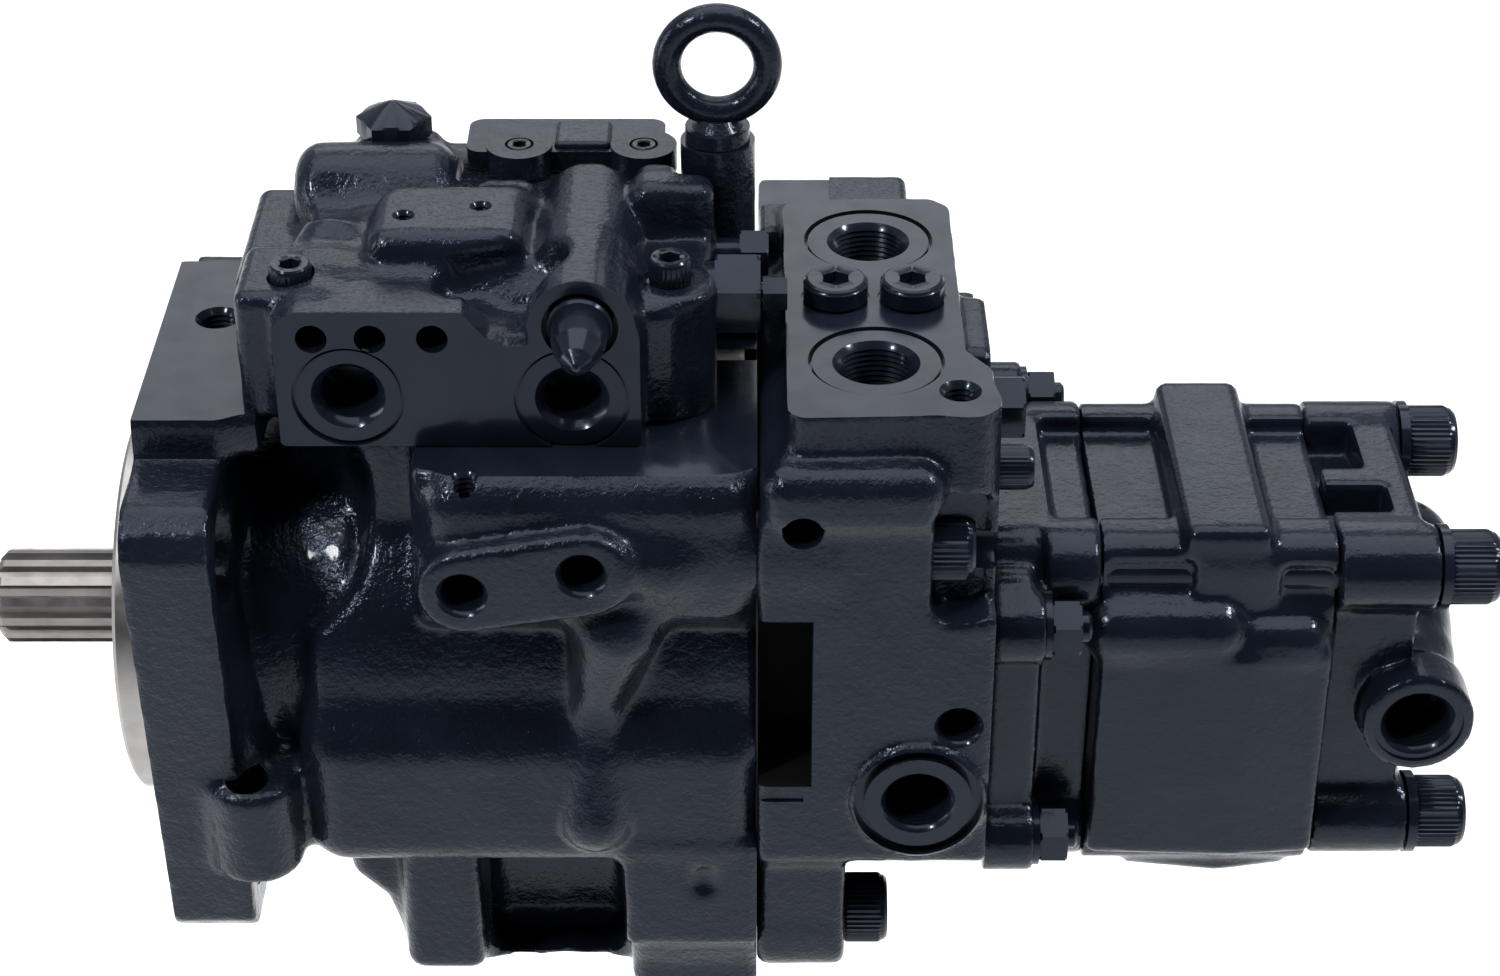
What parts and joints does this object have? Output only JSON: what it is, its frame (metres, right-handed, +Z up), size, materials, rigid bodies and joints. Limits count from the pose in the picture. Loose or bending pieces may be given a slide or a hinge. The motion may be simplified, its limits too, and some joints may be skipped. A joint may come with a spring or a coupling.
{
  "type": "axial piston pump",
  "caption": "Variable axial piston pump with a splined shaft, pilot flange, top ports, control valve, eyebolt and a gear pump bolted to its rear.",
  "frame": {"origin": "centre of the pilot spigot at the mounting face", "axes": "+X runs along the shaft from the mounting face to the gear pump, the splined end points to -X, +Z is up through the main ports, -Y is the front"},
  "size_m": [0.4846, 0.183, 0.3112],
  "materials": {
    "painted_casting": "dark blue-black gloss paint over cast iron",
    "painted_steel": "dark blue-black gloss paint over steel",
    "bare_steel": "bare machined steel",
    "bearing_bronze": "bearing bronze",
    "gasket": "dark fibre gasket",
    "seal_rubber": "black rubber"
  },
  "bodies": {
    "housing": {"adaptor_gasket": "gasket", "adaptor_nuts": "painted_steel", "adaptor_studs": "painted_steel", "adaptor_washers": "painted_steel", "adjuster_body": "painted_steel", "adjuster_cap": "painted_steel", "case_gasket": "gasket", "control_valve_body": "painted_casting", "control_valve_screws": "painted_steel", "cover_plate_screws": "painted_steel", "cover_port_plugs": "painted_steel", "cover_rear_bolt": "painted_steel", "cover_rear_plug": "painted_steel", "cradle_bearings": "bearing_bronze", "end_cover": "painted_casting", "end_cover_screws": "painted_steel", "eyebolt": "painted_steel", "front_bearing_balls": "bare_steel", "front_bearing_outer_race": "bare_steel", "gear_pump_adaptor": "painted_casting", "gear_pump_body": "painted_casting", "gear_pump_front_bush": "bearing_bronze", "gear_pump_rear_bush": "bearing_bronze", "gear_pump_rear_cover": "painted_casting", "gear_pump_screws": "painted_steel", "gear_pump_washers": "painted_steel", "hex_cap": "painted_steel", "main_case": "painted_casting", "pressure_spring": "bare_steel", "pump_gasket_front": "gasket", "pump_gasket_rear": "gasket", "rear_bearing_balls": "bare_steel", "rear_bearing_outer_race": "bare_steel", "seal_retaining_ring": "bare_steel", "servo_plug": "bare_steel", "servo_spring": "bare_steel", "shaft_seal": "seal_rubber", "side_plug": "painted_steel", "swash_cradle": "bare_steel", "valve_cover_plate": "painted_casting", "valve_plate": "bearing_bronze"},
    "rotor": {"drive_shaft": "bare_steel", "cylinder_block": "bare_steel", "front_bearing_inner_race": "bare_steel", "rear_bearing_inner_race": "bare_steel", "coupling_sleeve": "bare_steel", "gear_pump_drive_gear": "bare_steel", "block_spring": "bare_steel"},
    "piston_group": {"pistons": "bare_steel", "piston_shoes": "bearing_bronze", "retainer_plate": "bare_steel", "retainer_guide": "bare_steel"},
    "driven_gear": {"gear_pump_driven_gear": "bare_steel"},
    "swash": {"swash_plate": "bare_steel"},
    "servo": {"servo_piston": "bare_steel"},
    "pressure_spool": {"pressure_spool": "bare_steel"},
    "flow_spool": {"flow_spool": "bare_steel"},
    "pressure_adjuster": {"adjuster_screw": "painted_steel"}
  },
  "joints": [
    {"name": "shaft_spin", "type": "hinge", "parent": "housing", "child": "rotor", "pos_m": [0, 0, 0], "axis": [1, 0, 0], "continuous": true},
    {"name": "driven_gear_spin", "type": "hinge", "parent": "housing", "child": "driven_gear", "pos_m": [0.335, 0, -0.034], "axis": [1, 0, 0], "continuous": true},
    {"name": "swash_tilt", "type": "hinge", "parent": "housing", "child": "swash", "pos_m": [0.066, 0, 0], "axis": [0, 1, 0], "range_deg": [0, 17]},
    {"name": "servo_slide", "type": "slide", "parent": "housing", "child": "servo", "axis": [1, 0, 0], "range_m": [0, 0.0239], "deforming": ["servo_spring"]},
    {"name": "piston_draw", "type": "slide", "parent": "rotor", "child": "piston_group", "axis": [1, 0, 0], "range_m": [0, 0.0158], "deforming": ["block_spring"]},
    {"name": "pressure_spool_slide", "type": "slide", "parent": "housing", "child": "pressure_spool", "axis": [1, 0, 0], "range_m": [-0.003, 0]},
    {"name": "flow_spool_slide", "type": "slide", "parent": "housing", "child": "flow_spool", "axis": [0, 1, 0], "range_m": [-0.003, 0.003]},
    {"name": "pressure_adjuster_turn", "type": "hinge", "parent": "housing", "child": "pressure_adjuster", "pos_m": [0.194, -0.012, 0.121], "axis": [1, 0, 0], "range_deg": [-180, 180]}
  ],
  "couplings": [
    {"joint": "driven_gear_spin", "follows": "shaft_spin", "ratio": -1},
    {"joint": "servo_slide", "follows": "swash_tilt", "m_per_rad": 0.08},
    {"joint": "piston_draw", "follows": "swash_tilt", "m_per_rad": 0.0525}
  ]
}
